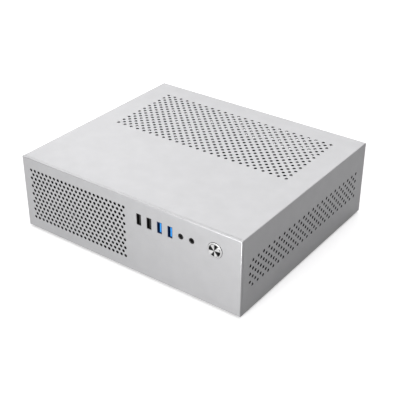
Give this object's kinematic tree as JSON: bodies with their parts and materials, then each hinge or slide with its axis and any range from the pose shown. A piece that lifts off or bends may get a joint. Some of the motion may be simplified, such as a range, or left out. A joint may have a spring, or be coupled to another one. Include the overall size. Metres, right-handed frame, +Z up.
{
  "type": "desktop computer",
  "caption": "Slim horizontal desktop computer in a bead-blasted aluminium case with front sockets, a round power button and fans.",
  "frame": {"origin": "under the middle of the whole object's box, at the level the feet stand on", "axes": "+Z up, the front faces -Y, +X to the right seen from the front"},
  "size_m": [0.302, 0.2678, 0.0943],
  "materials": {
    "case_aluminium": "bead-blasted and clear anodised, satin",
    "steel_sheet": "galvanised sheet, satin",
    "polished_steel": "turned and polished",
    "plated_steel": "nickel plated, satin",
    "heatsink_aluminium": "extruded, bare",
    "black_plastic": "moulded, fine grain",
    "blue_plastic": "moulded, satin",
    "grey_plastic": "moulded, satin",
    "circuit_board": "glass-epoxy board with solder mask",
    "foot_rubber": "matt",
    "cable_sleeve": "bundled insulated wires"
  },
  "bodies": {
    "case": {"base_tray": "steel_sheet", "front_panel": "case_aluminium", "foot_front_left": "foot_rubber", "foot_front_right": "foot_rubber", "foot_rear_left": "foot_rubber", "foot_rear_right": "foot_rubber", "power_button_body": "polished_steel", "power_button_nut": "plated_steel", "front_io_board": "circuit_board", "usb_port_1": "black_plastic", "usb_port_2": "black_plastic", "usb_fast_port_1": "blue_plastic", "usb_fast_port_2": "blue_plastic", "audio_jack_1": "black_plastic", "audio_jack_2": "black_plastic", "front_fan_left_frame": "black_plastic", "front_fan_right_frame": "black_plastic", "motherboard": "circuit_board", "cpu_socket": "plated_steel", "cpu_heatsink": "heatsink_aluminium", "cpu_fan_frame": "black_plastic", "memory_slot_1": "black_plastic", "memory_slot_2": "black_plastic", "memory_module_1": "circuit_board", "memory_module_2": "circuit_board", "card_slot": "black_plastic", "solid_state_drive": "circuit_board", "chipset_heatsink": "heatsink_aluminium", "clock_battery": "plated_steel", "main_power_socket": "black_plastic", "cpu_power_socket": "black_plastic", "io_shield": "plated_steel", "display_socket": "plated_steel", "rear_usb_stack_1": "plated_steel", "rear_usb_stack_2": "plated_steel", "network_socket": "plated_steel", "rear_audio_stack": "black_plastic", "slot_cover_1": "plated_steel", "slot_cover_2": "plated_steel", "slot_cover_3": "plated_steel", "slot_cover_4": "plated_steel", "psu_housing": "steel_sheet", "psu_rear_plate": "steel_sheet", "psu_fan_frame": "black_plastic", "psu_inlet": "black_plastic", "psu_board": "circuit_board", "main_power_cable": "cable_sleeve", "cpu_power_cable": "cable_sleeve", "front_io_cable": "cable_sleeve"},
    "cover": {"top_cover": "case_aluminium", "cover_screw_left": "plated_steel", "cover_screw_right": "plated_steel"},
    "power_button": {"power_button_cap": "polished_steel"},
    "front_fan_left": {"front_fan_left_rotor": "black_plastic"},
    "front_fan_right": {"front_fan_right_rotor": "black_plastic"},
    "cpu_fan": {"cpu_fan_rotor": "black_plastic"},
    "psu_fan": {"psu_fan_rotor": "black_plastic"},
    "mains_rocker": {"psu_rocker": "black_plastic"},
    "memory_latch_1": {"memory_latch_1": "grey_plastic"},
    "memory_latch_2": {"memory_latch_2": "grey_plastic"}
  },
  "joints": [
    {"name": "cover_slide", "type": "slide", "parent": "case", "child": "cover", "axis": [0, 1, 0], "range_m": [0, 0.262]},
    {"name": "power_button_press", "type": "slide", "parent": "case", "child": "power_button", "axis": [0, 1, 0], "range_m": [0, 0.0015], "stiffness_N_per_m": 1000, "springref_m": -0.001},
    {"name": "front_fan_left_spin", "type": "hinge", "parent": "case", "child": "front_fan_left", "pos_m": [-0.1, -0.12155, 0.0485], "axis": [0, 1, 0], "continuous": true},
    {"name": "front_fan_right_spin", "type": "hinge", "parent": "case", "child": "front_fan_right", "pos_m": [-0.039, -0.12155, 0.0485], "axis": [0, 1, 0], "continuous": true},
    {"name": "cpu_fan_spin", "type": "hinge", "parent": "case", "child": "cpu_fan", "pos_m": [0.0342, 0.03895, 0.06065], "axis": [0, 0, 1], "continuous": true},
    {"name": "psu_fan_spin", "type": "hinge", "parent": "case", "child": "psu_fan", "pos_m": [0.12795, 0.11725, 0.0647], "axis": [0, 1, 0], "continuous": true},
    {"name": "mains_rocker_tilt", "type": "hinge", "parent": "case", "child": "mains_rocker", "pos_m": [0.12795, 0.12405, 0.0354], "axis": [0, 0, -1], "range_deg": [0, 20]},
    {"name": "memory_latch_1_open", "type": "hinge", "parent": "case", "child": "memory_latch_1", "pos_m": [-0.04285, -0.02505, 0.0138], "axis": [0, -1, 0], "range_deg": [0, 32]},
    {"name": "memory_latch_2_open", "type": "hinge", "parent": "case", "child": "memory_latch_2", "pos_m": [-0.04285, -0.03705, 0.0138], "axis": [0, -1, 0], "range_deg": [0, 32]}
  ]
}
